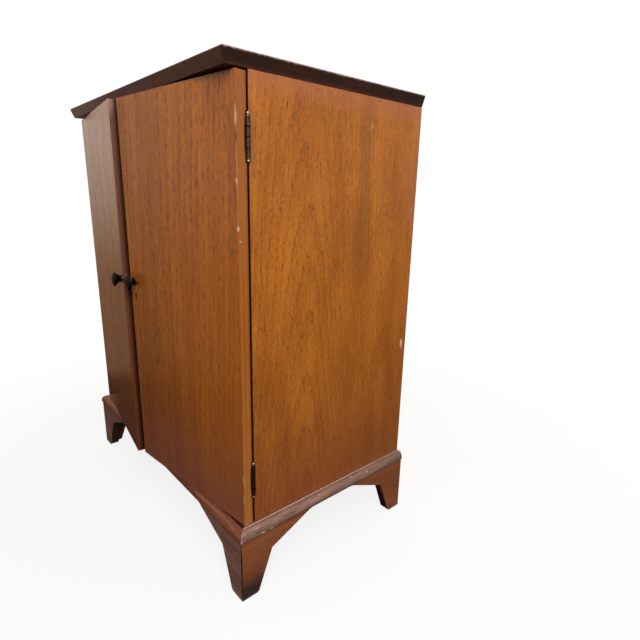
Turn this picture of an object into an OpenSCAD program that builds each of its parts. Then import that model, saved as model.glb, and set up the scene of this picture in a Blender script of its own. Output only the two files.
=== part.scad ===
// Flip-top bar cabinet: a two-door cupboard on bracket feet, with a bar well under a lid that flips up.
// Millimetres. X runs to the right of someone facing the doors, Y to the back, Z up. The origin is on
// the floor, under the middle of the whole object. The doors are drawn ajar, each by its own angle.

/* [Cabinet] */
// Height from the floor to the top of the lid
cabinet_h = 787; // [700:1:900]
// Width over the two side panels
case_w = 625; // [540:1:800]
// Depth of the side panels, front edge to back edge
case_d = 346; // [320:1:450]
// Thickness of the case boards
board_t = 19; // [17:0.5:22]
// Thickness of the back panel
back_t = 6; // [4:0.5:9]
// Width of the rebate that holds the back panel
rebate_w = 8; // [5:0.5:12]

/* [Lid] */
// Thickness of the lid
lid_t = 18; // [16:0.5:25]
// How far the lid's lower front edge stands out past the closed doors
lid_reach = 13.7; // [5:0.1:25]
// How much further out the lid's upper edge is than its lower edge
lid_bevel = 5.5; // [0.5:0.5:10]
// Rounding of the lid's upper edges
lid_round = 1.5; // [0.5:0.5:3]
// Gap between the case and the closed lid
lid_gap = 0.5; // [0.3:0.1:1]
// Angle from closed to fully open
lid_open = 95; // [85:1:100]
// Distance between the middles of the two lid hinges
lid_hinge_span = 400; // [250:1:450]

/* [Doors] */
// Thickness of a door
door_t = 16.5; // [16:0.5:22]
// Gap between a closed door and the edge of its side panel
door_gap = 2.2; // [1.5:0.1:2.4]
// Step from the outside of the side panel in to the edge of the door
door_step = 1; // [0.5:0.1:2]
// Gap over the doors
door_top_gap = 2.5; // [1:0.5:6]
// Gap under the doors
door_bottom_gap = 2; // [0.5:0.5:6]
// Gap between the two closed doors
meeting_gap = 2; // [1.5:0.1:3]
// Thickness of the lipping round each door
lipping_t = 4; // [3:0.5:6]
// Angle at which the right door stands ajar
right_ajar = 6.3; // [5:0.1:10]
// Angle at which the left door stands ajar
left_ajar = 8; // [6.5:0.1:12]

/* [Hinges] */
// Length of a hinge barrel
hinge_h = 51; // [45:1:60]
// Width of a hinge leaf from the pin's axis
leaf_w = 16; // [14:0.5:16.5]
// Thickness of a hinge leaf
leaf_t = 1.2; // [1:0.1:1.5]
// Number of knuckles in a barrel
knuckles = 4; // [2:2:6]
// Outside radius of a knuckle
knuckle_r = 3.1; // [2.8:0.1:3.6]
// Radius of a hinge pin
pin_r = 1.6; // [1.2:0.1:1.8]
// Radius of the ball on each end of a hinge pin
ball_r = 2.3; // [2.2:0.1:2.8]
// Distance from the bottom of a side panel up to the middle of its lower hinge
hinge_low_inset = 76; // [60:0.5:120]
// Distance from the top of a side panel down to the middle of its upper hinge
hinge_top_inset = 78.5; // [60:0.5:120]
// How far a hinge axis stands out past the face of the case
axis_out = 0.5; // [0.3:0.1:1]
// Play between a pin and its knuckles, on the radius
pin_play = 0.05; // [0.02:0.01:0.1]
// Gap between two closed leaves
leaf_play = 0.3; // [0.2:0.05:0.5]
// Gap round a knuckle in the wood, and between two knuckles
knuckle_play = 0.5; // [0.2:0.05:0.6]

/* [Screws] */
// Radius of a screw's head
screw_head_r = 2.5; // [2.2:0.1:2.8]
// Radius of a screw's shank
screw_r = 1.3; // [1:0.1:1.6]
// Length of a hinge screw
screw_l = 14; // [10:1:15]
// Distance from the edges of a hinge leaf to its outer screws
screw_inset = 5; // [4:0.5:7]
// Play round a screw in its hole, on the radius
screw_play = 0.05; // [0.02:0.01:0.1]
// Width of the slot in a screw's head
slot_w = 0.8; // [0.5:0.1:1]
// Depth of the slot in a screw's head
slot_deep = 0.5; // [0.3:0.1:0.8]

/* [Knobs] */
// Distance from a door's free edge to the middle of its knob
knob_inset = 15; // [14:0.5:40]
// Height of the knobs above the floor
knob_z = 468; // [400:1:520]
// Length of a knob from the door's face
knob_l = 17.5; // [16:0.5:30]
// Radius of a knob's rim
knob_rim_r = 13.5; // [11:0.5:18]
// Radius of a knob's waist
knob_waist_r = 6; // [5:0.5:7]
// How far the domed end of a knob stands out past its rim
knob_dome = 6; // [2:0.5:7]
// Thickness of a knob's rim
knob_rim_t = 1; // [0.6:0.1:2]
// How sharply a knob flares to its rim: 1 is a plain cone, 2 a trumpet
knob_flare = 1.4; // [1.2:0.1:2.5]
// Radius of the blackened collar at the foot of a knob
collar_r = 7; // [6.5:0.5:10]
// Thickness of the blackened collar
collar_t = 2; // [1.5:0.5:3]
// Radius of the screw that holds a knob
knob_screw_r = 2; // [1.5:0.1:2.5]

/* [Lock] */
// Distance from the middle of the knob down to the keyhole
keyhole_drop = 23; // [22:1:60]
// Radius of the round part of the keyhole
keyhole_r = 2.3; // [1.8:0.1:3]
// Length of the keyhole's slot below the middle of its round part
keyhole_slot = 9; // [7:0.5:10]
// Width of the keyhole's slot
keyhole_w = 2.2; // [1.5:0.1:3]
// Width of the lock's body beyond the keyhole
lock_back = 28; // [24:1:40]
// Distance from the bottom of the lock's body up to the keyhole
lock_drop = 20; // [16:0.5:24]
// Height of the lock's body
lock_h = 36; // [35:0.5:37]
// Thickness of the lock's body
lock_t = 9; // [8:0.5:11]
// Thickness of the walls of the lock's body
lock_wall = 1.5; // [1:0.1:2]
// Thickness of the lock's edge plate and of the strike plate
plate_t = 1.5; // [1:0.1:2]
// How far the edge plate runs past the lock's body at each end
plate_past = 7; // [4:0.5:9]
// Height of the lock's bolt
lock_bolt_h = 9; // [7:0.5:9.5]
// Thickness of the lock's bolt
lock_bolt_t = 4; // [3:0.5:5]
// Throw of the lock's bolt
lock_throw = 5; // [4:0.5:5.5]
// Play round the lock's bolt
bolt_play = 0.3; // [0.2:0.05:0.5]

/* [Door bolt] */
// Radius of the sliding rod inside the left door
rod_r = 2.5; // [2:0.1:3]
// Throw of the rod
rod_throw = 12; // [8:1:12]
// Distance from the left door's free edge to the rod
rod_inset = 22; // [16:1:40]
// Distance from the door's back face to the middle of the rod
rod_out = 6.5; // [6:0.5:8]
// Length of the rod
rod_l = 80; // [76:1:110]
// Gap from the cupboard's floor up to the drawn rod
rod_up = 2; // [1.5:0.5:3]
// Length of the rod's handle
handle_l = 10; // [7:0.5:12]
// Thickness of the rod's plate and keeper
rod_plate_t = 1.5; // [1:0.1:2]
// Height of each guide on the rod's plate
guide_h = 8; // [6:0.5:12]
// Height of the rod's plate
rod_plate_h = 60; // [54:1:64]

/* [Bar well] */
// Depth of the well, from the top of the case to its floor
well_depth = 150; // [145:1:200]
// Thickness of the laminate on the well's floor
laminate_t = 1; // [0.8:0.1:2]

/* [Shelf] */
// Thickness of the shelf
shelf_t = 16; // [14:0.5:19]
// Height of the shelf's underside above the cupboard's floor
shelf_h = 225; // [200:1:260]
// How far the shelf's front edge is set back from the front of the case
shelf_setback = 22; // [15:1:60]
// Gap at each end of the shelf
shelf_play = 1; // [0.5:0.1:1.5]
// Radius of a shelf support's peg
peg_r = 2.5; // [2:0.1:3]
// Length of a shelf support's peg in the side panel
peg_l = 9; // [7:0.5:10]
// Number of peg holes in each row
peg_holes = 5; // [3:2:5]
// Distance between the peg holes
peg_pitch = 32; // [25:1:38]
// Distance from the front or back of the shelf to its pegs
peg_inset = 45; // [30:1:70]
// Length of a support's tab under the shelf
tab_l = 9; // [7:0.5:12]
// Width of a shelf support
tab_w = 11; // [9:0.5:14]
// Thickness of a shelf support
tab_t = 2; // [1.5:0.1:3]

/* [Base] */
// Height of the base, floor to the top of its moulding
base_h = 123; // [105:1:150]
// How much further the base stands out in front of the closed doors than beside the side panels
base_out = 2; // [0:0.5:4]
// How far the base moulding stands out past the side panels
rail_reach = 14; // [13:0.5:20]
// Thickness of the base moulding
rail_t = 16; // [14:0.5:20]
// Width of the base moulding under the case
rail_in = 60; // [45:1:80]
// Flat top of the moulding outside the case, before it curves down
rail_flat = 6; // [1:0.5:8]
// Radius of the small quarter round under the moulding's nose
rail_nose = 2; // [1:0.5:2]
// How far the feet stand out past the side panels
foot_reach = 12; // [8:0.5:12]
// Thickness of the foot boards
foot_t = 19; // [16:0.5:22]
// Width of a foot where it meets the floor
toe_w = 32; // [25:0.5:34]
// Bevel on the inner corner of a toe
toe_bevel = 3; // [1:0.5:6]
// Distance from the corner to the knee of a foot
knee_w = 58; // [52:1:75]
// Height of the knee
knee_h = 71; // [55:0.5:80]
// Distance from the corner to the tip of a bracket
wing_w = 140; // [120:1:155]
// Radius of the curve that runs a bracket's tip out along the moulding
wing_r = 30; // [20:5:90]
// Height of a bracket at its very tip
wing_tip = 0.8; // [0.5:0.1:2]
// Length of the plain board behind a rear foot
rear_w = 62; // [60:1:90]
// Width of the glue blocks behind the feet
block_w = 24; // [18:1:26]
// How far above the knee the glue blocks end
block_up = 2; // [0:1:16]

/* [Lid stay] */
// Distance from the lid's axis to the stay's pivot, and to its slide pin
stay_r = 75; // [70:1:80]
// Distance from the lid's axis down to the stay's pivot
stay_drop = 12; // [11:0.5:14]
// Distance from the pivot to the slide pin with the lid closed
stay_short = 26; // [24:1:32]
// Width of the stay's arm
arm_w = 12; // [10:0.5:14]
// Thickness of the stay's arm and bracket
arm_t = 2; // [1.5:0.1:2.5]
// Radius of the slide pin and of the pivot rivet
slide_r = 2; // [1.6:0.1:2.4]
// Gap between the side panel and the arm
arm_out = 3.5; // [3:0.5:6]
// Gap between the faces of the stay's parts, and beside the pin in its slot
stay_play = 0.3; // [0.2:0.05:0.5]
// Length of the bracket's foot on the lid
bracket_l = 32; // [26:1:44]
// Width of the bracket's foot on the lid
bracket_w = 16; // [12:1:24]
// Thickness of the heads of the rivet and the slide pin
rivet_head_t = 1.2; // [0.8:0.1:1.5]
// Thickness of the washer under the slide pin
washer_t = 1.5; // [1:0.1:1.6]

/* [Hidden] */
$fn = 48;

// Small step by which a cutter passes through the face that it opens
over = 1;

// Case, drawn with the front edges of its side panels at y = 0
half_w = case_w / 2;
inner_w = half_w - board_t;
case_top = cabinet_h - lid_t - lid_gap;
bottom_top = base_h + board_t;
well_floor = case_top - well_depth;
boards_low = well_floor - board_t;
rail_low = base_h - rail_t;

// Doors, drawn closed as a right-hand door and then swung ajar
door_back_y = -door_gap;
door_face_y = door_back_y - door_t;
door_low = base_h + door_bottom_gap;
door_high = case_top - door_top_gap;
door_outer_x = half_w - door_step;
door_free_x = meeting_gap / 2;
knob_x = door_free_x + knob_inset;

// Hinges: the pin's axis is in the middle of the gap that the leaves lie in
door_axis_x = half_w + axis_out;
door_axis_y = -door_gap / 2;
lid_low = case_top + lid_gap;
lid_axis_y = case_d + axis_out;
lid_axis_z = case_top + lid_gap / 2;
knuckle_h = hinge_h / knuckles;
ball_up = hinge_h / 2 + ball_r + knuckle_play;
hinge_levels = [base_h + hinge_low_inset, case_top - hinge_top_inset];

// Middle of the whole object: from the further knob to the barrels of the lid's hinges
function knob_tip_y(ajar) =
    door_axis_y - (door_axis_x - knob_x) * sin(ajar) - (door_gap / 2 + door_t + knob_l) * cos(ajar);
front_y = min(knob_tip_y(right_ajar), knob_tip_y(left_ajar));
middle_y = (front_y + lid_axis_y + knuckle_r) / 2;

// Base
mitre_out = rail_reach + over;
base_face_y = door_face_y - base_out;
foot_x = half_w + foot_reach;
foot_y = base_face_y - foot_reach;
block_low = knee_h + block_up;

// Lock: its bolt runs just over the keyhole, halfway into the lock's thickness
keyhole_z = knob_z - keyhole_drop;
lock_low = keyhole_z - lock_drop;
lock_y = door_back_y - lock_t / 2;
lock_bolt_z = keyhole_z + keyhole_r + lock_wall + lock_bolt_h / 2;
lock_plate_h = lock_h + 2 * plate_past;
strike_h = lock_bolt_h + 4 * plate_past;

// Door bolt
rod_x = door_free_x + rod_inset;
rod_y = door_back_y + rod_out;
rod_low = bottom_top + rod_up;
rod_plate_low = rod_low + 2 * rod_up;
guide_half = rod_r + 2 * rod_plate_t;
handle_z = rod_plate_low + rod_plate_h - guide_h - rod_up - 2 * rod_r;

// Shelf
shelf_z = bottom_top + shelf_h;
shelf_back_y = case_d - back_t - shelf_play;
peg_drop = tab_t + peg_r + 2.5;

// Lid stay: its pivot on the lid and its pin on the case are equally far from the lid's axis, so the
// arm turns at exactly half the lid's rate, and the pin never leaves the middle line of the arm's slot
pivot_angle = asin(stay_drop / stay_r);
short_angle = 2 * asin(stay_short / 2 / stay_r);
pin_angle = pivot_angle + short_angle;
arm_lean = (pivot_angle + pin_angle) / 2;
stay_long = 2 * stay_r * sin((short_angle + lid_open) / 2);
pivot_y = lid_axis_y - stay_r * cos(pivot_angle);
pivot_z = lid_axis_z - stay_r * sin(pivot_angle);
slide_y = lid_axis_y - stay_r * cos(pin_angle);
slide_z = lid_axis_z - stay_r * sin(pin_angle);
arm_x = inner_w - arm_out - arm_t;
ear_x = arm_x - stay_play - arm_t;
arm_side = arm_x + arm_t + stay_play;
rivet_head_r = 2 * slide_r;

// Colours as the photograph shows them
walnut = [0.60, 0.34, 0.17];
walnut_dark = [0.45, 0.26, 0.17];
espresso = [0.22, 0.16, 0.14];
inside_ply = [0.72, 0.56, 0.38];
gunmetal = [0.27, 0.24, 0.23];
nickel = [0.80, 0.79, 0.77];
steel = [0.62, 0.62, 0.63];
black = [0.08, 0.07, 0.07];

// Moves what is drawn from the front of the case to the middle of the whole object
module in_place() {
    translate([0, -middle_y, 0]) children();
}

module on_left() {
    mirror([1, 0, 0]) children();
}

// A box between its lowest and its highest corner
module box(low, high) {
    translate(low) cube(high - low);
}

// A round bar along X, from x = low to x = high
module bar_x(low, high, r) {
    translate([low, 0, 0]) rotate([0, 90, 0]) cylinder(r = r, h = high - low);
}

// A round bar along Y, from y = low to y = high
module bar_y(low, high, r) {
    translate([0, low, 0]) rotate([-90, 0, 0]) cylinder(r = r, h = high - low);
}

// Points along a quarter or less of an ellipse
function arc(middle, rx, ry, from, to, steps) =
    [for (i = [0 : steps]) let (a = from + (to - from) * i / steps) middle + [rx * cos(a), ry * sin(a)]];

// Countersunk screw, its head's face at z = 0 and its point down; grow makes the hole for it
module screw(head_h, grow = 0) {
    rotate_extrude() polygon(concat(
        grow > 0 ? [[0, over], [screw_head_r + grow, over]] : [[0, 0]],
        [[screw_head_r + grow, 0], [screw_r + grow, -head_h], [screw_r + grow, -screw_l + 2 * screw_r],
         [0, -screw_l - grow]]
    ));
}

module slotted_screw(head_h) {
    difference() {
        screw(head_h);
        translate([-screw_head_r - over, -slot_w / 2, -slot_deep])
            cube([2 * screw_head_r + 2 * over, slot_w, slot_deep + over]);
    }
}

// Hinges. A hinge is drawn with its pin along Z and its leaves lying towards -X. side is 1 for the leaf
// on the case, which lies just behind the gap's middle, and -1 for the one that moves

// The knuckles that belong to one leaf: every second one, counted from first
module knuckle_stack(first, r, trim) {
    for (k = [first : 2 : knuckles - 1])
        translate([0, 0, k * knuckle_h - hinge_h / 2 + trim]) cylinder(r = r, h = knuckle_h - 2 * trim);
}

module at_leaf_screws(side) {
    near = knuckle_r + knuckle_play + screw_head_r + over;
    for (p = [[screw_inset - leaf_w, screw_inset + screw_head_r - hinge_h / 2], [-near, 0],
              [screw_inset - leaf_w, hinge_h / 2 - screw_inset - screw_head_r]])
        translate([p[0], side * leaf_play / 2, p[1]]) rotate([side * 90, 0, 0]) children();
}

module hinge_leaf(first, side) {
    difference() {
        union() {
            knuckle_stack(first, knuckle_r, knuckle_play / 2);
            translate([-leaf_w, side > 0 ? leaf_play / 2 : -leaf_play / 2 - leaf_t, -hinge_h / 2])
                cube([leaf_w, leaf_t, hinge_h]);
        }
        knuckle_stack(1 - first, knuckle_r + knuckle_play, 0);
        cylinder(r = pin_r + pin_play, h = hinge_h + 2 * over, center = true);
        at_leaf_screws(side) screw(leaf_t, screw_play);
    }
}

// Pin with a ball on each end
module hinge_pin() {
    cylinder(r = pin_r, h = 2 * ball_up, center = true);
    for (up = [-1, 1])
        translate([0, 0, up * ball_up]) sphere(r = ball_r);
}

// Recess for a leaf, notch for the barrel and holes for the screws, cut from the wood on one side
module hinge_seat(side) {
    deep = leaf_play / 2 + leaf_t;
    translate([-leaf_w, side > 0 ? 0 : -deep, -hinge_h / 2]) cube([leaf_w + over, deep, hinge_h]);
    cylinder(r = knuckle_r + knuckle_play, h = 2 * (ball_up + ball_r + knuckle_play), center = true);
    at_leaf_screws(side) screw(leaf_t, screw_play);
}

module at_door_hinges() {
    for (z = hinge_levels)
        translate([door_axis_x, door_axis_y, z]) children();
}

module at_lid_hinges() {
    for (x = [-lid_hinge_span / 2, lid_hinge_span / 2])
        translate([x, lid_axis_y, lid_axis_z]) rotate([-90, 0, 90]) children();
}

// Case

module peg_rows() {
    peg_z = shelf_z - peg_drop;
    for (y = [shelf_setback + peg_inset, shelf_back_y - peg_inset], k = [0 : peg_holes - 1])
        translate([0, y, peg_z + (k - (peg_holes - 1) / 2) * peg_pitch])
            bar_x(inner_w - over, inner_w + peg_l + over, peg_r + screw_play);
}

module side_panel() {
    difference() {
        box([inner_w, 0, base_h], [half_w, case_d, case_top]);
        box([inner_w - over, case_d - back_t, base_h - over],
            [inner_w + rebate_w, case_d + over, boards_low]);
        at_door_hinges() hinge_seat(1);
        peg_rows();
    }
}

module side_panel_left() {
    color(walnut) in_place() on_left() side_panel();
}

module side_panel_right() {
    color(walnut) in_place() difference() {
        side_panel();
        translate([0, slide_y, slide_z]) bar_x(inner_w - over, inner_w + screw_l, slide_r + screw_play);
    }
}

module case_bottom() {
    color(inside_ply) in_place() difference() {
        box([-inner_w, 0, base_h], [inner_w, case_d - back_t, bottom_top]);
        rod_keeper_plate();
        translate([-rod_x, rod_y, rod_low - rod_throw - bolt_play])
            cylinder(r = rod_r + bolt_play, h = rod_throw + over);
    }
}

module back_panel() {
    color(inside_ply) in_place()
        box([-inner_w - rebate_w, case_d - back_t, base_h], [inner_w + rebate_w, case_d, boards_low]);
}

module bar_front_board() {
    color(walnut_dark) in_place() box([-inner_w, 0, boards_low], [inner_w, board_t, case_top]);
}

module bar_back_board() {
    color(walnut_dark) in_place() difference() {
        box([-inner_w, case_d - board_t, boards_low], [inner_w, case_d, case_top]);
        at_lid_hinges() hinge_seat(1);
    }
}

module bar_floor_board() {
    color(inside_ply) in_place()
        box([-inner_w, board_t, boards_low], [inner_w, case_d - board_t, well_floor]);
}

module bar_laminate() {
    color(black) in_place()
        box([-inner_w, board_t, well_floor], [inner_w, case_d - board_t, well_floor + laminate_t]);
}

module shelf() {
    color(inside_ply) in_place()
        box([shelf_play - inner_w, shelf_setback, shelf_z],
            [inner_w - shelf_play, shelf_back_y, shelf_z + shelf_t]);
}

// Angle with a peg into the side panel and a tab under the shelf
module shelf_support() {
    box([inner_w - tab_l, -tab_w / 2, -tab_t], [inner_w, tab_w / 2, 0]);
    box([inner_w - tab_t, -tab_w / 2, -peg_drop - peg_r - tab_t], [inner_w, tab_w / 2, 0]);
    translate([0, 0, -peg_drop]) bar_x(inner_w - over, inner_w + peg_l, peg_r);
}

module shelf_supports() {
    color(steel) in_place()
        for (side = [0, 1], y = [shelf_setback + peg_inset, shelf_back_y - peg_inset])
            mirror([side, 0, 0]) translate([0, y, shelf_z]) shelf_support();
}

// Base

// Section of the moulding, its first number the distance out from the side panel, or from base_face_y
function rail_section() = concat(
    [[-rail_in, rail_low], [-rail_in, base_h]],
    arc([rail_flat, rail_low + rail_nose], rail_reach - rail_flat, rail_t - rail_nose, 90, 0, 12),
    arc([rail_reach - rail_nose, rail_low + rail_nose], rail_nose, rail_nose, -15, -90, 4)
);

module base_rail_front() {
    color(walnut_dark) in_place() intersection() {
        translate([-half_w - mitre_out, base_face_y, 0]) rotate([90, 0, 90])
            linear_extrude(case_w + 2 * mitre_out) mirror([1, 0]) polygon(rail_section());
        translate([0, base_face_y, rail_low - over]) linear_extrude(rail_t + 2 * over) polygon([
            [-half_w - mitre_out, -mitre_out], [half_w + mitre_out, -mitre_out],
            [half_w - rail_in, rail_in], [rail_in - half_w, rail_in]
        ]);
    }
}

module base_rail_side() {
    intersection() {
        translate([half_w, case_d, 0]) rotate([90, 0, 0])
            linear_extrude(case_d - base_face_y + mitre_out) polygon(rail_section());
        translate([0, base_face_y, rail_low - over]) linear_extrude(rail_t + 2 * over) polygon([
            [half_w + mitre_out, -mitre_out], [half_w + mitre_out, case_d - base_face_y],
            [half_w - rail_in, case_d - base_face_y], [half_w - rail_in, rail_in]
        ]);
    }
}

module base_rail_left() {
    color(walnut_dark) in_place() on_left() base_rail_side();
}

module base_rail_right() {
    color(walnut_dark) in_place() base_rail_side();
}

module base_rail_back() {
    color(walnut_dark) in_place()
        box([rail_in - half_w, case_d - rail_in, rail_low], [half_w - rail_in, case_d, base_h]);
}

// Outline of a bracket foot, measured along the board from the cabinet's corner. The straight underside
// of the wing runs out along the moulding in an arc
function bracket_outline() =
    let (tip_z = rail_low - wing_tip)
    let (rise = atan((tip_z - knee_h) / (wing_w - knee_w)))
    let (tip_x = wing_w + wing_r * tan(rise / 2))
    concat(
        [[0, 0], [toe_w - toe_bevel, 0], [toe_w, toe_bevel], [knee_w, knee_h]],
        arc([tip_x, tip_z - wing_r], wing_r, wing_r, 90 + rise, 90, 6),
        [[tip_x, rail_low], [0, rail_low]]
    );

// A bracket board standing along +X, its outer face at y = 0, mitred at x = 0 or cut square
module bracket_board(mitred) {
    difference() {
        translate([0, foot_t, 0]) rotate([90, 0, 0]) linear_extrude(foot_t) polygon(bracket_outline());
        if (mitred)
            translate([0, 0, -over]) linear_extrude(rail_low + 2 * over)
                polygon([[0, 0], [foot_t + over, foot_t + over], [-over, foot_t + over], [-over, 0]]);
    }
}

module foot_front_face() {
    translate([foot_x, foot_y, 0]) mirror([1, 0, 0]) bracket_board(true);
}

module foot_front_side() {
    translate([foot_x, foot_y, 0]) rotate([0, 0, 90]) bracket_board(true);
}

module foot_rear_side() {
    translate([foot_x, case_d, 0]) mirror([0, 1, 0]) rotate([0, 0, 90]) bracket_board(false);
}

// Plain board across the back of a rear foot
module foot_rear_back() {
    translate([foot_x - foot_t, case_d - foot_t, 0]) rotate([90, 0, 180]) linear_extrude(foot_t) polygon([
        [0, 0], [toe_w - foot_t, 0], [knee_w - foot_t, knee_h], [rear_w, knee_h],
        [rear_w, rail_low], [0, rail_low]
    ]);
}

module foot_front_left_face() {
    color(walnut_dark) in_place() on_left() foot_front_face();
}

module foot_front_left_side() {
    color(walnut_dark) in_place() on_left() foot_front_side();
}

module foot_front_right_face() {
    color(walnut_dark) in_place() foot_front_face();
}

module foot_front_right_side() {
    color(walnut_dark) in_place() foot_front_side();
}

module foot_rear_left_side() {
    color(walnut_dark) in_place() on_left() foot_rear_side();
}

module foot_rear_left_back() {
    color(walnut_dark) in_place() on_left() foot_rear_back();
}

module foot_rear_right_side() {
    color(walnut_dark) in_place() foot_rear_side();
}

module foot_rear_right_back() {
    color(walnut_dark) in_place() foot_rear_back();
}

module foot_glue_blocks() {
    block_x = foot_x - foot_t - block_w;
    color(inside_ply) in_place()
        for (side = [0, 1], y = [foot_y + foot_t, case_d - foot_t - block_w])
            mirror([side, 0, 0]) box([block_x, y, block_low], [block_x + block_w, y + block_w, rail_low]);
}

// Hinges on the case

module case_leaves() {
    at_door_hinges() hinge_leaf(0, 1);
}

module hinge_case_leaves_left() {
    color(gunmetal) in_place() on_left() case_leaves();
}

module hinge_case_leaves_right() {
    color(gunmetal) in_place() case_leaves();
}

module hinge_pins_left() {
    color(nickel) in_place() on_left() at_door_hinges() hinge_pin();
}

module hinge_pins_right() {
    color(nickel) in_place() at_door_hinges() hinge_pin();
}

module lid_hinge_case_leaves() {
    color(gunmetal) in_place() at_lid_hinges() hinge_leaf(0, 1);
}

module lid_hinge_pins() {
    color(nickel) in_place() at_lid_hinges() hinge_pin();
}

module case_hinge_screws() {
    color(steel) in_place() {
        for (side = [0, 1])
            mirror([side, 0, 0]) at_door_hinges() at_leaf_screws(1) slotted_screw(leaf_t);
        at_lid_hinges() at_leaf_screws(1) slotted_screw(leaf_t);
    }
}

// Lid

// Section across the lid's width or depth, from its lower edge at 0 out to its rounded upper edge
function lid_edge() = arc([lid_bevel - lid_round, lid_t - lid_round], lid_round, lid_round, -15, 90, 6);

function flipped(points) = [for (i = [len(points) - 1 : -1 : 0]) [-points[i][0], points[i][1]]];

module lid_board() {
    lid_front = door_face_y - lid_reach;
    side_edge = [for (p = lid_edge()) p + [half_w, 0]];
    front_edge = [for (p = lid_edge()) p + [-lid_front, 0]];
    back_edge = arc([-case_d + lid_round, lid_t - lid_round], lid_round, lid_round, 90, 180, 6);
    translate([0, 0, lid_low]) intersection() {
        translate([0, case_d + over, 0]) rotate([90, 0, 0])
            linear_extrude(case_d - lid_front + lid_bevel + 2 * over)
            polygon(concat([[-half_w, 0], [half_w, 0]], side_edge, flipped(side_edge)));
        translate([-half_w - lid_bevel - over, 0, 0]) rotate([90, 0, 90])
            linear_extrude(case_w + 2 * lid_bevel + 2 * over) mirror([1, 0])
            polygon(concat([[-case_d, 0], [-lid_front, 0]], front_edge, back_edge));
    }
}

module lid() {
    color(espresso) in_place() difference() {
        lid_board();
        at_lid_hinges() hinge_seat(-1);
        at_bracket_screws() screw(arm_t, screw_play);
    }
}

module lid_hinge_leaves() {
    color(gunmetal) in_place() at_lid_hinges() hinge_leaf(1, -1);
}

module lid_hinge_screws() {
    color(steel) in_place() {
        at_lid_hinges() at_leaf_screws(-1) slotted_screw(leaf_t);
        at_bracket_screws() slotted_screw(arm_t);
    }
}

// Lid stay

module at_bracket_screws() {
    for (y = [-1, 1] * (bracket_l / 2 - screw_inset - over))
        translate([ear_x - bracket_w / 2, pivot_y + y, lid_low - arm_t]) rotate([180, 0, 0]) children();
}

// Angle under the lid, with an ear that carries the arm's pivot
module stay_bracket() {
    ear_r = arm_w / 2 + over;
    color(steel) in_place() difference() {
        union() {
            box([ear_x - bracket_w, pivot_y - bracket_l / 2, lid_low - arm_t],
                [ear_x + arm_t, pivot_y + bracket_l / 2, lid_low]);
            box([ear_x, pivot_y - ear_r, pivot_z], [ear_x + arm_t, pivot_y + ear_r, lid_low]);
            translate([0, pivot_y, pivot_z]) bar_x(ear_x, ear_x + arm_t, ear_r);
        }
        translate([0, pivot_y, pivot_z]) bar_x(ear_x - over, ear_x + arm_t + over, slide_r + pin_play);
        at_bracket_screws() screw(arm_t, screw_play);
    }
}

module stay_rivet() {
    color(steel) in_place() translate([0, pivot_y, pivot_z]) {
        bar_x(ear_x - rivet_head_t, ear_x, rivet_head_r);
        bar_x(ear_x - over, arm_side + over, slide_r);
        bar_x(arm_side, arm_side + rivet_head_t, rivet_head_r);
    }
}

// Arm with a long slot, hanging from its pivot with the lid closed
module stay_arm() {
    color(steel) in_place() translate([0, pivot_y, pivot_z]) rotate([arm_lean, 0, 0]) difference() {
        union() {
            box([arm_x, -arm_w / 2, -stay_long], [arm_x + arm_t, arm_w / 2, 0]);
            for (z = [0, -stay_long])
                translate([0, 0, z]) bar_x(arm_x, arm_x + arm_t, arm_w / 2);
        }
        bar_x(arm_x - over, arm_x + arm_t + over, slide_r + pin_play);
        box([arm_x - over, -slide_r - stay_play, -stay_long],
            [arm_x + arm_t + over, slide_r + stay_play, -stay_short]);
        for (z = [-stay_short, -stay_long])
            translate([0, 0, z]) bar_x(arm_x - over, arm_x + arm_t + over, slide_r + stay_play);
    }
}

// Pin on the side panel that the arm slides over: a washer, a shoulder, the pin and its head
module stay_slide_pin() {
    shoulder_r = 1.8 * slide_r;
    color(steel) in_place() translate([0, slide_y, slide_z]) {
        bar_x(inner_w - washer_t, inner_w, 2 * shoulder_r);
        bar_x(arm_side, inner_w, shoulder_r);
        bar_x(arm_x - stay_play - over, inner_w + screw_l - over, slide_r);
        bar_x(arm_x - stay_play - rivet_head_t, arm_x - stay_play, rivet_head_r);
    }
}

// Doors

// Swings a closed door out about its hinges
module swung(ajar) {
    translate([door_axis_x, door_axis_y, 0]) rotate([0, 0, ajar])
        translate([-door_axis_x, -door_axis_y, 0]) children();
}

module on_right_door() {
    in_place() swung(right_ajar) children();
}

module on_left_door() {
    in_place() on_left() swung(left_ajar) children();
}

module door_box(inset, through) {
    box([door_free_x + inset, door_face_y - through, door_low + inset],
        [door_outer_x - inset, door_back_y + through, door_high - inset]);
}

module door_cuts() {
    at_door_hinges() hinge_seat(-1);
    translate([knob_x, 0, knob_z]) bar_y(door_face_y - over, door_back_y + over, knob_screw_r + screw_play);
}

// Space of the lock's body in the door's back, and of its plate in the door's edge
module lock_space() {
    box([door_free_x, door_back_y - lock_t, lock_low],
        [knob_x + lock_back, door_back_y, lock_low + lock_h]);
    box([door_free_x, door_back_y - lock_t, lock_low + lock_h / 2 - lock_plate_h / 2],
        [door_free_x + plate_t, door_back_y, lock_low + lock_h / 2 + lock_plate_h / 2]);
}

module keyhole(low, high) {
    translate([knob_x, 0, keyhole_z]) {
        bar_y(low, high, keyhole_r);
        box([-keyhole_w / 2, low, -keyhole_slot + keyhole_w / 2], [keyhole_w / 2, high, 0]);
        translate([0, 0, -keyhole_slot + keyhole_w / 2]) bar_y(low, high, keyhole_w / 2);
    }
}

module right_door_cuts() {
    door_cuts();
    lock_space();
    keyhole(door_face_y - over, lock_y);
}

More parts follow.
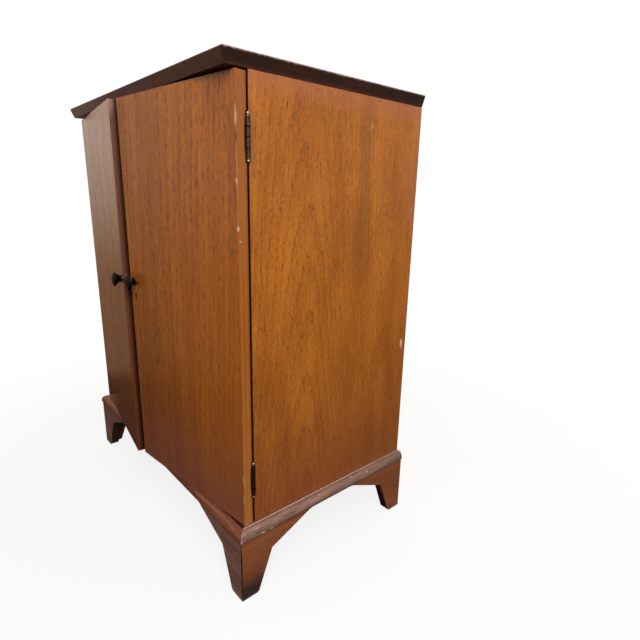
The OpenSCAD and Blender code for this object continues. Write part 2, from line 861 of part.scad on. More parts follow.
// Path of the lock's bolt, with its play
module bolt_path(low, high) {
    box([low, lock_y - lock_bolt_t / 2 - bolt_play, lock_bolt_z - lock_bolt_h / 2 - bolt_play],
        [high, lock_y + lock_bolt_t / 2 + bolt_play, lock_bolt_z + lock_bolt_h / 2 + bolt_play]);
}

module strike_box() {
    box([door_free_x, door_back_y - lock_t, lock_bolt_z - strike_h / 2],
        [door_free_x + plate_t, door_back_y, lock_bolt_z + strike_h / 2]);
}

module left_door_cuts() {
    door_cuts();
    strike_box();
    bolt_path(door_free_x - over, door_free_x + lock_throw + over);
}

module door_panel_right() {
    color(walnut) on_right_door() difference() {
        door_box(lipping_t, 0);
        right_door_cuts();
    }
}

module door_lipping_right() {
    color(walnut) on_right_door() difference() {
        door_box(0, 0);
        door_box(lipping_t, over);
        right_door_cuts();
    }
}

module door_panel_left() {
    color(walnut) on_left_door() difference() {
        door_box(lipping_t, 0);
        left_door_cuts();
    }
}

module door_lipping_left() {
    color(walnut) on_left_door() difference() {
        door_box(0, 0);
        door_box(lipping_t, over);
        left_door_cuts();
    }
}

module door_leaves() {
    at_door_hinges() hinge_leaf(1, -1);
}

module hinge_door_leaves_right() {
    color(gunmetal) on_right_door() door_leaves();
}

module hinge_door_leaves_left() {
    color(gunmetal) on_left_door() door_leaves();
}

module hinge_door_screws_right() {
    color(steel) on_right_door() at_door_hinges() at_leaf_screws(-1) slotted_screw(leaf_t);
}

module hinge_door_screws_left() {
    color(steel) on_left_door() at_door_hinges() at_leaf_screws(-1) slotted_screw(leaf_t);
}

// Knobs, turned round an axis that stands out from the door's face
module at_knob() {
    translate([knob_x, door_face_y, knob_z]) rotate([90, 0, 0]) children();
}

// Trumpet from the waist to the rim, with a domed end
module knob() {
    rim_z = knob_l - knob_dome;
    flare_h = rim_z - knob_rim_t - collar_t;
    flare = [for (i = [0 : 10]) let (t = i / 10)
        [knob_waist_r + (knob_rim_r - knob_waist_r) * pow(t, knob_flare), collar_t + flare_h * t]];
    difference() {
        rotate_extrude() polygon(concat(
            [[0, collar_t]], flare, [[knob_rim_r, rim_z]],
            arc([0, rim_z], knob_rim_r - knob_rim_t / 2, knob_dome, 15, 90, 8)
        ));
        translate([0, 0, collar_t - over]) cylinder(r = knob_screw_r + screw_play, h = knob_l / 2 + over);
    }
}

// Blackened ring between the knob and the door, rounded over at its front
module knob_collar() {
    soft = collar_t / 2;
    difference() {
        rotate_extrude() polygon(concat(
            [[0, 0], [collar_r, 0]],
            arc([collar_r - soft, collar_t - soft], soft, soft, 0, 90, 5),
            [[0, collar_t]]
        ));
        translate([0, 0, -over]) cylinder(r = knob_screw_r + screw_play, h = collar_t + 2 * over);
    }
}

// Flat-headed screw from inside the door into the knob, its end short of the end of the knob's hole
module knob_screw() {
    head_r = 2 * knob_screw_r;
    head_h = 1.25 * knob_screw_r;
    translate([0, 0, -door_t]) difference() {
        union() {
            cylinder(r = knob_screw_r, h = door_t + collar_t + knob_l / 2 - over);
            translate([0, 0, -head_h]) cylinder(r = head_r, h = head_h);
        }
        translate([-head_r - over, -slot_w / 2, -head_h - over])
            cube([2 * head_r + 2 * over, slot_w, over + slot_deep]);
    }
}

module knob_right() {
    color(black) on_right_door() at_knob() knob();
}

module knob_left() {
    color(black) on_left_door() at_knob() knob();
}

module knob_collar_right() {
    color(black) on_right_door() at_knob() knob_collar();
}

module knob_collar_left() {
    color(black) on_left_door() at_knob() knob_collar();
}

module knob_screw_right() {
    color(steel) on_right_door() at_knob() knob_screw();
}

module knob_screw_left() {
    color(steel) on_left_door() at_knob() knob_screw();
}

// Lock: a body let into the door's back, with a round chamber for the key and a pin that the key turns on
module lock_case() {
    chamber_r = keyhole_slot + over;
    color(steel) on_right_door() {
        difference() {
            lock_space();
            bolt_path(door_free_x - over, knob_x + lock_back - lock_wall);
            translate([knob_x, 0, keyhole_z])
                bar_y(door_back_y - lock_t + lock_wall, door_back_y - lock_wall, chamber_r);
            keyhole(door_back_y - lock_t - over, lock_y);
        }
        translate([knob_x, 0, keyhole_z])
            bar_y(door_back_y - lock_t + lock_wall, door_back_y - lock_wall + over / 2, keyhole_r / 2);
    }
}

// Bolt of the lock, drawn back, with the notch that the key pushes in its lower edge
module lock_bolt() {
    notch = keyhole_slot / 2;
    color(nickel) on_right_door() difference() {
        box([door_free_x + bolt_play, lock_y - lock_bolt_t / 2, lock_bolt_z - lock_bolt_h / 2],
            [knob_x + lock_back - lock_wall - bolt_play, lock_y + lock_bolt_t / 2,
             lock_bolt_z + lock_bolt_h / 2]);
        box([knob_x - notch, lock_y - lock_bolt_t, lock_bolt_z - lock_bolt_h],
            [knob_x + notch, lock_y + lock_bolt_t, lock_bolt_z - lock_bolt_h / 2 + notch]);
    }
}

// Plate in the left door's edge that the lock's bolt shoots into
module lock_strike_plate() {
    color(steel) on_left_door() difference() {
        strike_box();
        bolt_path(door_free_x - over, door_free_x + plate_t + over);
    }
}

// Door bolt: a plate with two guides inside the left door, and the rod that slides down into the case
module rod_guide(low) {
    box([rod_x - guide_half, door_back_y, low],
        [rod_x + guide_half, rod_y + rod_r + rod_plate_t, low + guide_h]);
}

module rod_plate() {
    color(steel) on_left_door() difference() {
        union() {
            box([rod_x - 2 * guide_half, door_back_y, rod_plate_low],
                [rod_x + 2 * guide_half, door_back_y + rod_plate_t, rod_plate_low + rod_plate_h]);
            rod_guide(rod_plate_low + rod_up);
            rod_guide(rod_plate_low + rod_plate_h - guide_h - rod_up);
        }
        translate([rod_x, rod_y, rod_plate_low]) cylinder(r = rod_r + pin_play, h = rod_plate_h);
    }
}

module rod() {
    color(nickel) on_left_door() {
        translate([rod_x, rod_y, rod_low]) cylinder(r = rod_r, h = rod_l);
        translate([rod_x, rod_y, handle_z]) bar_y(0, handle_l, 0.8 * rod_r);
    }
}

module rod_keeper_plate() {
    box([-rod_x - 2 * guide_half, 0, bottom_top - rod_plate_t],
        [2 * guide_half - rod_x, 2 * rod_y + guide_half, bottom_top]);
}

// Plate let into the cupboard's floor, that the rod slides through
module rod_keeper() {
    color(steel) in_place() difference() {
        rod_keeper_plate();
        translate([-rod_x, rod_y, bottom_top - rod_plate_t - over])
            cylinder(r = rod_r + bolt_play, h = rod_plate_t + 2 * over);
    }
}

side_panel_left();
side_panel_right();
case_bottom();
back_panel();
bar_front_board();
bar_back_board();
bar_floor_board();
bar_laminate();
shelf();
shelf_supports();
base_rail_front();
base_rail_left();
base_rail_right();
base_rail_back();
foot_front_left_face();
foot_front_left_side();
foot_front_right_face();
foot_front_right_side();
foot_rear_left_side();
foot_rear_left_back();
foot_rear_right_side();
foot_rear_right_back();
foot_glue_blocks();
hinge_case_leaves_left();
hinge_case_leaves_right();
hinge_pins_left();
hinge_pins_right();
lid_hinge_case_leaves();
lid_hinge_pins();
case_hinge_screws();
stay_slide_pin();
rod_keeper();
lid();
lid_hinge_leaves();
lid_hinge_screws();
stay_bracket();
stay_rivet();
stay_arm();
door_panel_right();
door_lipping_right();
hinge_door_leaves_right();
hinge_door_screws_right();
knob_right();
knob_collar_right();
knob_screw_right();
lock_case();
lock_bolt();
door_panel_left();
door_lipping_left();
hinge_door_leaves_left();
hinge_door_screws_left();
knob_left();
knob_collar_left();
knob_screw_left();
lock_strike_plate();
rod_plate();
rod();
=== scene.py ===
# %% [markdown]
# # A walnut bar cabinet
# The model of this cabinet comes with its exact shape and its joints. What it lacks is its looks: walnut
# veneer with its figure, a dark lid, worn mouldings, old hinges. This lesson adds them step by step.
# Lengths are in metres, and the cabinet stands on the floor at z = 0 with its doors facing -Y.

# %% Load the cabinet
import bpy
import math
from mathutils import Matrix, Vector


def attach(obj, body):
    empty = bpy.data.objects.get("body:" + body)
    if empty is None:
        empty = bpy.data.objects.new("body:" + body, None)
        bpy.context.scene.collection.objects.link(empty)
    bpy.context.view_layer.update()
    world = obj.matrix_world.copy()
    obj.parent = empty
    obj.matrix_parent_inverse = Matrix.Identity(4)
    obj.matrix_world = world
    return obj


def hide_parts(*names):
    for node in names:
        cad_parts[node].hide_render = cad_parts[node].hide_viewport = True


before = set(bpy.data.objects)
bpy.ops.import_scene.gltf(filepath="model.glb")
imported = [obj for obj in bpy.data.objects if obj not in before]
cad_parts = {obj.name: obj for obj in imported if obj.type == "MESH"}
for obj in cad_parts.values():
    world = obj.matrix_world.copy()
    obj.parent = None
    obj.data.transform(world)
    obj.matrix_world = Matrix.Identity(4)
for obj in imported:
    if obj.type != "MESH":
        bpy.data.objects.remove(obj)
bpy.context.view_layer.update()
MM = 0.001

# %% [markdown]
# ## Camera
# The photograph was taken from the front right, from a little under the height of the lid, with a wide
# lens. A camera has three directions: right, up and ahead. They are worked out from how far it turns
# to the left, tips down and leans, and become the columns of its matrix.

# %% Camera
turn, tip, lean = math.radians(48.41), math.radians(-15.0), math.radians(1.35)
ahead = Vector((-math.sin(turn) * math.cos(tip), math.cos(turn) * math.cos(tip), math.sin(tip)))
level = Vector((math.cos(turn), math.sin(turn), 0))
upright = level.cross(ahead)
right = math.cos(lean) * level + math.sin(lean) * upright
up = math.cos(lean) * upright - math.sin(lean) * level
viewpoint = Matrix.Translation((0.8427, -0.4796, 0.6221))

bpy.ops.object.camera_add()
camera = bpy.context.object
camera.matrix_world = viewpoint @ Matrix((right, up, -ahead)).transposed().to_4x4()
camera.data.lens = 26.22
bpy.context.scene.camera = camera
print("camera at", [round(v, 3) for v in camera.location])

# %% [markdown]
# ## Colours and nodes
# Colours are written as they look on a screen. A shader counts in linear light, so one function turns
# them. A second one adds a node with its settings, values and links, and hands back one output.

# %% Colours and nodes
# a Mix node has sockets for each kind of data, and these are the ones for colours
FACTOR, FIRST, SECOND, MIXED = 0, 6, 7, 2


def linear(code):
    parts = [int(code[i:i + 2], 16) / 255 for i in (1, 3, 5)]
    return (*[c / 12.92 if c <= 0.04045 else ((c + 0.055) / 1.055) ** 2.4 for c in parts], 1)


def add(tree, kind, inputs, out=0, **settings):
    node = tree.nodes.new("ShaderNode" + kind)
    for name, value in settings.items():
        setattr(node, name, value)
    for socket, value in inputs.items():
        if isinstance(value, bpy.types.NodeSocket):
            tree.links.new(value, node.inputs[socket])
        else:
            node.inputs[socket].default_value = value
    return node.outputs[out]


print("#A85C28 is", [round(v, 3) for v in linear("#A85C28")])

# %% [markdown]
# ## World, floor and light
# The picture has a white background. The camera sees the world and the floor as white, while the light
# that they throw on the cabinet stays low. Close to the cabinet the floor takes some of its shadow, and
# further out it fades to plain white. A large window lamp on the right gives the side its light, and a
# weaker one overhead lifts the lid.

# %% World
def looked_at(tree):
    """1 for what the camera, a reflection or clear glass looks at, 0 for the light that falls on things."""
    path = tree.nodes.new("ShaderNodeLightPath")
    straight = {0: path.outputs["Is Camera Ray"], 1: path.outputs["Is Glossy Ray"]}
    seen = add(tree, "Math", straight, operation="MAXIMUM")
    return add(tree, "Math", {0: seen, 1: path.outputs["Is Transmission Ray"]}, operation="MAXIMUM")


DIM, WHITE = "#9A9794", "#FFFFFF"
scene = bpy.context.scene
scene.view_settings.view_transform = "Standard"
scene.world = bpy.data.worlds.new("studio")
scene.world.use_nodes = True
sky = scene.world.node_tree
glow = add(sky, "Mix", {FACTOR: looked_at(sky), FIRST: linear(DIM), SECOND: linear(WHITE)}, MIXED, data_type="RGBA")
sky.links.new(glow, sky.nodes["Background"].inputs["Color"])
print("the world looks", WHITE, "and lights as", DIM)


# %% Floor
def new_material(name):
    material = bpy.data.materials.new(name)
    material.use_nodes = True
    return material, material.node_tree


SHADOW = 0.16  # how much of the shadow shows close to the cabinet
bpy.ops.object.select_all(action="DESELECT")
bpy.ops.mesh.primitive_plane_add(size=16)
floor = bpy.context.object
floor.name = "floor"

# pale matt paper: it shows a soft shadow and no shine
material, tree = new_material("pale paper")
distance = add(tree, "VectorMath", {0: add(tree, "TexCoord", {}, "Object")}, "Value", operation="LENGTH")
far = add(tree, "MapRange", {"Value": distance, "From Min": 0.35, "From Max": 1.1}, interpolation_type="SMOOTHSTEP")
white = add(tree, "Emission", {"Strength": 1.0})
shaded = add(tree, "BsdfDiffuse", {"Color": linear("#F2F1EF")})
near = add(tree, "MixShader", {0: SHADOW, 1: white, 2: shaded})
shown = add(tree, "MixShader", {0: far, 1: near, 2: white})
dull = add(tree, "BsdfDiffuse", {"Color": linear("#7A7672")})
both = add(tree, "MixShader", {0: looked_at(tree), 1: dull, 2: shown})
tree.links.new(both, tree.nodes["Material Output"].inputs["Surface"])
floor.data.materials.append(material)
print("the floor is", floor.dimensions.x, "m wide")


# %% Lamps
def lamp(name, place, aim, size, power, colour):
    bpy.ops.object.light_add(type="AREA", location=place)
    light = bpy.context.object
    light.name = name
    light.rotation_euler = (Vector(aim) - Vector(place)).to_track_quat("-Z", "Y").to_euler()
    light.data.size = size
    light.data.energy = power
    light.data.color = linear(colour)[:3]


lamp("window", (1.5, -0.8, 1.75), (0.25, 0, 0.5), 1.2, 38, "#FFFAF4")
lamp("overhead", (0.2, 0.6, 2.4), (0, 0, 0.7), 1.5, 12, "#FFFFFF")

# %% [markdown]
# ## What the lacquer reflects
# The camera looks almost along the doors, and lacquer seen like that reflects like a mirror. In the
# photograph it reflects a room with a dark floor and lighter walls. A picture of a room would do, but a
# large bowl needs no file: a cylinder without its lid, 3 mm over the floor, which reflections alone see.

# %% The bowl
ROOM_R, ROOM_H, LIFT = 3, 3, 0.003
bpy.ops.object.select_all(action="DESELECT")
bpy.ops.mesh.primitive_cylinder_add(
    vertices=96, radius=ROOM_R, depth=ROOM_H, location=(0, 0, ROOM_H / 2 + LIFT), end_fill_type="NGON")
room = bpy.context.object
room.name = "reflected_room"
bpy.ops.object.transform_apply(location=True)
bpy.ops.object.mode_set(mode="EDIT")
bpy.ops.mesh.select_all(action="DESELECT")
bpy.ops.object.mode_set(mode="OBJECT")
for side in room.data.polygons:
    side.select = side.center.z > ROOM_H - 0.1
bpy.ops.object.mode_set(mode="EDIT")
bpy.ops.mesh.delete(type="FACE")
bpy.ops.object.mode_set(mode="OBJECT")
room.visible_camera = room.visible_diffuse = room.visible_shadow = False
room.visible_transmission = room.visible_volume_scatter = False
print("the bowl has", len(room.data.polygons), "faces")

# %% [markdown]
# The bowl glows instead of being lit, so its tones can be set one by one. Its ground is dark round the
# cabinet and a little lighter past a step. Its walls get brighter with height, but less so straight in
# front of the doors, and the light is warmer low down, as over a wooden floor.

# %% The room's light
material, tree = new_material("reflected room")
spot = add(tree, "TexCoord", {}, "Object")
x, y, z = [add(tree, "SeparateXYZ", {0: spot}, axis) for axis in "XYZ"]
away = add(tree, "VectorMath", {0: add(tree, "CombineXYZ", {"X": x, "Y": y})}, "Value", operation="LENGTH")
step = add(tree, "MapRange", {"Value": away, "From Min": 0.77, "From Max": 0.85, "To Min": 0.0, "To Max": 0.22},
           interpolation_type="SMOOTHSTEP")
ground = add(tree, "MapRange", {"Value": away, "From Min": 0.8, "From Max": 2.6, "To Max": 0.08})
height = add(tree, "MapRange", {"Value": z, "From Min": 0.0, "From Max": 1.0})
wall = add(tree, "MapRange", {"Value": y, "From Min": -1.8, "From Max": -0.6, "To Min": 0.3, "To Max": 0.72})
glow = add(tree, "Math", {0: height, 1: wall, 2: step}, operation="MULTIPLY_ADD")
glow = add(tree, "Math", {0: glow, 1: ground}, operation="ADD")
tall = add(tree, "MapRange", {"Value": z, "From Min": -0.05, "From Max": 0.6})
tint = add(tree, "Mix", {FACTOR: tall, FIRST: linear("#FFCCA0"), SECOND: linear("#FFE8D5")}, MIXED, data_type="RGBA")
shine = add(tree, "Emission", {"Color": tint, "Strength": glow})
tree.links.new(shine, tree.nodes["Material Output"].inputs["Surface"])
room.data.materials.append(material)
print(material.name, "has", len(tree.nodes), "nodes")

# %% [markdown]
# ## Marks of use
# An old cabinet is known by its wear: scratches, bruised edges, pale chips, dirt in the joints. They could
# be painted on an image, but a mark can also be a soft-edged blob of colour at a place on the board. A
# fine noise makes its outline ragged. Each mark is a centre, radii, a colour, its strength from 0 to 1,
# how soft its edge is and how ragged, with lengths in millimetres.

# %% Marks
GRIT = 6.25  # grain of the noise that frays a mark; real scratches fray finer than the picture shows
FAR = 3000  # a radius that takes in the whole board


def marked(tree, place, colour, marks):
    if not marks:
        return colour
    grit = add(tree, "TexNoise", {"Vector": place, "Scale": 1 / (GRIT * MM), "Detail": 3.0})
    for centre, radii, paint, strength, soft, ragged in marks:
        blob = {"Vector": place, "Location": [v * MM for v in centre], "Scale": [v * MM for v in radii]}
        inside = add(tree, "Mapping", blob, vector_type="TEXTURE")
        reach = add(tree, "VectorMath", {0: inside}, "Value", operation="LENGTH")
        reach = add(tree, "Math", {0: grit, 1: ragged, 2: reach}, operation="MULTIPLY_ADD")
        edge = 1.0 + ragged / 2
        reach = add(tree, "MapRange", {"Value": reach, "From Min": edge, "From Max": edge - soft, "To Max": strength},
                    interpolation_type="SMOOTHSTEP")
        colour = add(tree, "Mix", {FACTOR: reach, FIRST: colour, SECOND: linear(paint)}, MIXED, data_type="RGBA")
    return colour


print("a mark's edge frays over", GRIT, "mm")

# %% [markdown]
# ## Wood
# Timber is a log of growth rings, cut by the board's faces. So one function makes a log: rings round an
# axis, a little crooked, and the board lies somewhere in it. A cut close to the axis, with the log
# leaning, shows the arches that a joiner calls a cathedral, and a cut far from it shows straight lines.
# Flat stripes would be simpler, but they give no arches and don't turn the corner at a board's edge.

# %% Growth rings
WAVE = 2 * math.pi / 20  # a Wave texture of scale 1 repeats 20 times in 2 pi
CROOKED = 0.016  # how far the rings wander, in metres
LATE = 2.5  # the higher, the narrower the dark line at the end of each ring


def stretched(tree, board, seed, across, along):
    """The place on the board, counted in grains of across by along millimetres."""
    grain = (across * MM, across * MM, along * MM)
    return add(tree, "Mapping", {"Vector": board, "Location": (seed, 0, 0), "Scale": grain}, vector_type="TEXTURE")


def growth_rings(tree, board, seed, heart, leaning, ring):
    """From 0 in the pale early wood to 1 in the dark late wood, in rings of the given millimetres."""
    slow = stretched(tree, board, seed, 60, 420)
    sway = add(tree, "TexNoise", {"Vector": slow, "Scale": 1.0, "Detail": 2.0}, "Color")
    bent = add(tree, "VectorMath", {0: sway, 1: (CROOKED, CROOKED, 0), 2: board}, operation="MULTIPLY_ADD")
    log = add(tree, "Mapping", {"Vector": bent, "Location": heart, "Rotation": leaning}, vector_type="TEXTURE")
    rings = add(tree, "TexWave", {"Vector": log, "Scale": WAVE / (ring * MM)}, "Fac",
                wave_type="RINGS", rings_direction="Z", wave_profile="SAW")
    return add(tree, "Math", {0: rings, 1: LATE}, operation="POWER")


print("rings of 9 mm need a scale of", round(WAVE / (9 * MM), 1))

# %% [markdown]
# Over the rings lie the fibres, broad changes of tone, and the pores, which in walnut are short dark
# strokes, closer together in the late wood. All three are noise stretched along the grain. Real pores
# are 0.2 mm wide, too fine for the picture, so they are drawn 1 to 3 mm wide.

# %% Fibres and pores
def streaks(tree, board, seed, size, detail, roughness):
    place = stretched(tree, board, seed, *size)
    return add(tree, "TexNoise", {"Vector": place, "Scale": 1.0, "Detail": detail, "Roughness": roughness})


def pore_strokes(tree, board, seed, pores, rings):
    cells = streaks(tree, board, seed, pores, 1.0, 0.5)
    strokes = add(tree, "MapRange", {"Value": cells, "From Min": 0.5, "From Max": 0.62},
                  interpolation_type="SMOOTHSTEP")
    crowd = add(tree, "MapRange", {"Value": rings, "To Min": 0.45, "To Max": 1.0})
    return add(tree, "Math", {0: strokes, 1: crowd}, operation="MULTIPLY")


print("a grain of 2.2 x 45 mm is", round(45 / 2.2), "times longer than it is wide")

# %% [markdown]
# A board takes its colour from light to mid by tone and fibre, goes darker in the late wood and in the
# pores, and gets its marks on top. The lacquer over it is satin, a little rougher over the pores, which
# show through it as fine dents.

# %% A board
def wood(name, light, mid, dark, pore, at=(0, 0, 0), turn=(0, 0, 0), heart=(0.1, 0.05, 0), leaning=(0, 0, 0),
         ring=9, ring_strength=0.3, pores=(1.3, 8), pore_strength=0.5, tone=(40, 500), fibres=(2.2, 45),
         rough=0.36, specular=0.5, dent=0.25, seed=0, marks=()):
    """at and turn place the board, heart and leaning the log in it, in metres; its grain is in millimetres."""
    material, tree = new_material(name)
    place = add(tree, "TexCoord", {}, "Object")
    board = add(tree, "Mapping", {"Vector": place, "Location": at, "Rotation": turn}, vector_type="TEXTURE")
    rings = growth_rings(tree, board, seed, heart, leaning, ring)
    fibre = streaks(tree, board, seed, fibres, 3.0, 0.65)
    broad = streaks(tree, board, seed, tone, 2.0, 0.5)
    strokes = pore_strokes(tree, board, seed, pores, rings)

    blend = add(tree, "Math", {0: broad, 1: fibre}, operation="ADD")
    blend = add(tree, "MapRange", {"Value": blend, "From Min": 0.78, "From Max": 1.22})
    colour = add(tree, "Mix", {FACTOR: blend, FIRST: linear(light), SECOND: linear(mid)}, MIXED, data_type="RGBA")
    for where, strength, paint in ((rings, ring_strength, dark), (strokes, pore_strength, pore)):
        depth = add(tree, "Math", {0: where, 1: strength}, operation="MULTIPLY")
        colour = add(tree, "Mix", {FACTOR: depth, FIRST: colour, SECOND: linear(paint)}, MIXED, data_type="RGBA")

    dull = add(tree, "Math", {0: strokes, 1: broad}, operation="ADD")
    satin = add(tree, "MapRange", {"Value": dull, "From Max": 1.5, "To Min": rough - 0.05, "To Max": rough + 0.08})
    relief = add(tree, "Math", {0: fibre, 1: strokes}, operation="SUBTRACT")
    dents = add(tree, "Bump", {"Height": relief, "Strength": dent, "Distance": 0.3 * MM})
    shader = tree.nodes["Principled BSDF"]
    tree.links.new(marked(tree, board, colour, marks), shader.inputs["Base Color"])
    tree.links.new(satin, shader.inputs["Roughness"])
    tree.links.new(dents, shader.inputs["Normal"])
    shader.inputs["Specular IOR Level"].default_value = specular
    return material


def dress(material, *nodes):
    for name in nodes:
        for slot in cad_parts[name].material_slots:
            slot.material = material
    print(material.name, "on", len(nodes), "parts")


# %% [markdown]
# ## Veneered sides
# The sides are boards faced with sliced walnut under an old satin lacquer. To the eye that is a warm
# orange brown with soft upright arches, fine dark pores and a sheen without a mirror. The log's heart lies
# well to the inside of the board and leans, which spreads the arches over the whole side. Painted shade makes
# it darker and redder near the floor. A shiny side would turn grey between white walls, so it reflects little.

# %% Veneered sides
walnut = dict(light="#C27624", mid="#A05915", dark="#7A4114", pore="#64300F", ring=7, ring_strength=0.2,
              pores=(1.3, 6), pore_strength=0.7, tone=(45, 200))
# painted shade: darker and redder towards the floor
low_red_shade = ((0, 0, 60), (FAR, FAR, 330), "#7A4030", 0.6, 1.0, 0.0)
side_right = wood(
    "walnut veneer, right side", **walnut, specular=0.35, heart=(0.2225, -0.03, 0.664), leaning=(0, -0.08, 0),
    marks=[
        low_red_shade,
        # pinker under the lid as a painted sheen, redder by the top hinge, a brown streak, a redder rear edge
        ((312.5, 0, 770), (FAR, FAR, 40), "#A8684C", 0.5, 1.0, 0.3),
        ((312.5, -136, 690), (FAR, 22, 60), "#703A2C", 0.65, 1.0, 0.3),
        ((312.5, 80, 600), (20, 26, 240), "#74461A", 0.42, 1.0, 1.2),
        ((312.5, 215, 640), (20, 60, 130), "#9A5436", 0.5, 1.0, 0.5),
        # dark dents
        ((312.5, -75.1, 736.3), (4, 2, 5), "#63300F", 0.8, 0.5, 0.6),
        ((312.5, -43.7, 691.4), (4, 2, 3), "#63300F", 0.8, 0.5, 0.6),
        ((312.5, 105.4, 764.5), (4, 3, 2), "#63300F", 0.8, 0.5, 0.6),
        # pale scratches, the largest near the rear edge
        ((312.5, 89.9, 726.2), (4, 3, 7), "#C89878", 0.6, 0.9, 0.8),
        ((312.5, -11.6, 557.6), (4, 8, 1.6), "#CD9166", 0.5, 0.9, 0.8),
        ((312.5, 198, 352), (4, 4, 14), "#E6CDB4", 0.9, 0.6, 1.4),
        # painted shade just over the moulding, the dark joint with the back, painted shade in the gap at the door
        ((312.5, 36, 123), (3, FAR, 2.4), "#2E140C", 0.8, 0.6, 0.2),
        ((312.5, 209.8, 446), (2.2, 1.4, FAR), "#4A2818", 0.8, 0.5, 0.2),
        ((308, -136.2, 446), (7, 1.3, FAR), "#150A07", 0.96, 0.5, 0.1),
    ])
side_left = wood("walnut veneer, left side", **walnut, heart=(-0.2225, -0.02, 0.55), leaning=(0, 0.08, 0),
                 seed=3.1, marks=[low_red_shade])
dress(side_right, "side_panel_right")
dress(side_left, "side_panel_left")

# %% [markdown]
# ## Veneered doors
# The doors have the same walnut, but their lacquer has kept its polish: seen at a low angle it mirrors the
# room, most of all on the left door, which the camera sees at the lowest angle. Two leaves of veneer mirror
# each other, so their hearts lie on opposite sides. The pores are drawn wider, because at this angle they
# would vanish. A mark's place is counted on the door itself, with x from its hinges, so it swings along.

# %% Where the doors hang
HINGE_X, HINGE_Y = 0.313, -0.1373
RIGHT_DOOR = dict(at=(HINGE_X, HINGE_Y, 0), turn=(0, 0, math.radians(6.3)))
LEFT_DOOR = dict(at=(-HINGE_X, HINGE_Y, 0), turn=(0, 0, math.radians(-8)))
DOOR_FACE = -17.6  # y of a door's face, counted from its hinges
KNOB_X, KNOB_Z = 297, 468  # a knob's place, from the hinges and from the floor
HINGES = (199, 690)  # heights of the hinges
door_walnut = dict(ring=11, ring_strength=0.26, pores=(2.6, 10), pore_strength=0.75, tone=(24, 420), fibres=(4, 70),
                   rough=0.27, dent=0.08)
# painted shade: both doors darker and mauver towards the floor
door_red_shade = ((0, 0, 60), (FAR, FAR, 300), "#80504A", 0.85, 1.0, 0.0)
print("the knobs are", KNOB_X, "mm from the hinges and", KNOB_Z, "mm up")

# %% Right door
hinge_shade = [((-1.5, -2.5, z), (1.4, 2.6, 29), "#140A06", 0.97, 0.3, 0.2) for z in reversed(HINGES)]
door_right = wood(
    "walnut veneer, right door", "#C26F1F", "#A2591A", "#7C3E14", "#5E2C11", **door_walnut, **RIGHT_DOOR,
    heart=(-0.22, 0.07, 0.5), leaning=(0, 0.06, 0), seed=5.3, marks=[
        door_red_shade,
        # darker towards the free edge, lighter by the hinges, and the knob's shadow painted brown round it
        ((-313, 0, 290), (330, FAR, 230), "#68330F", 0.5, 1.0, 0.0),
        ((-60, 0, 330), (150, FAR, 400), "#A85E18", 0.3, 1.0, 0.0),
        ((-285, DOOR_FACE, 466), (13, 3, 14), "#6A3416", 0.5, 1.0, 0.3),
        # the solid lipping at the hinges, dark above and pale below, and painted shade in its gap and by the hinges
        ((-1.5, -9, 446), (1.2, 9.4, FAR), "#AA6220", 0.65, 0.4, 0.3),
        ((-1.5, -9, 790), (1.8, 40, 330), "#8A4C12", 0.7, 1.0, 0.0),
        ((-1.5, -9, 150), (1.8, 40, 300), "#C47E3C", 0.6, 1.0, 0.0),
        ((-1.5, 0, 446), (1.2, 6, FAR), "#6A3414", 0.8, 1.0, 0.3),
        ((-1.5, 0.4, 446), (1.4, 2.1, FAR), "#1E0E09", 0.97, 0.5, 0.1),
        *hinge_shade,
        # the line between lipping and veneer, a pale corner line of wear and painted highlight, and chips
        ((-1.5, -10.5, 380), (1.2, 0.9, 300), "#6A3818", 0.8, 0.7, 0.5),
        ((-2, DOOR_FACE, 660), (1.6, 1.4, 110), "#D79C7E", 0.45, 0.8, 1.2),
        ((-2.5, DOOR_FACE, 714), (1.6, 3, 17), "#E6C3A6", 0.9, 0.7, 0.8),
        ((-2, DOOR_FACE, 690), (2.4, 3, 9), "#5A2A14", 0.8, 0.8, 0.8),
        ((-2.8, DOOR_FACE, 637), (2, 3, 5), "#F2DCC8", 0.9, 0.7, 0.6),
        ((-2.2, DOOR_FACE, 577), (1.8, 3, 5), "#E8C8AE", 0.9, 0.7, 0.6),
        ((-1.5, -14, 560.8), (1.5, 3, 1.3), "#E2BC9C", 0.8, 0.7, 0.4),
        ((-2, DOOR_FACE, 206), (2.4, 2.4, 12), "#C59069", 0.8, 0.8, 0.8),
        ((-2, DOOR_FACE, 173), (2.4, 2.4, 12), "#C59069", 0.8, 0.8, 0.8),
        # painted shade over the moulding, and painted shade inside the keyhole
        ((-30, DOOR_FACE, 124.5), (45, 3, 3.6), "#100705", 0.95, 0.5, 0.1),
        ((-KNOB_X, -5, 445), (3.8, 30, 3.8), "#0A0605", 1.0, 0.2, 0.0),
        ((-KNOB_X, -5, 440), (2.1, 30, 8), "#0A0605", 1.0, 0.2, 0.0),
    ])
dress(door_right, "door_panel_right", "door_lipping_right")

# %% Left door
# painted shade: its colours are painted darker than the right door's, where it turns from the light
door_left = wood(
    "walnut veneer, left door", "#A85F22", "#8C4B1C", "#6C3714", "#50260E", **door_walnut, **LEFT_DOOR,
    heart=(0.22, 0.07, 0.5), leaning=(0, -0.06, 0), seed=7.7, marks=[
        door_red_shade,
        # the free edge in painted shade from the right door: dark, nearly black at its back, redder at its front,
        # and a painted reflection that makes its top corner pale
        ((312, -9, 446), (1.5, 13, FAR), "#40200F", 0.95, 0.2, 0.1),
        ((312, -1, 446), (1.5, 12, FAR), "#1A0804", 0.95, 0.7, 0.1),
        ((312, -15.5, 446), (1.5, 4.5, FAR), "#6A3A26", 0.85, 0.6, 0.1),
        ((312, DOOR_FACE, 762), (1.5, 12, 30), "#A88676", 0.7, 1.0, 0.3),
    ])
dress(door_left, "door_panel_left", "door_lipping_left")

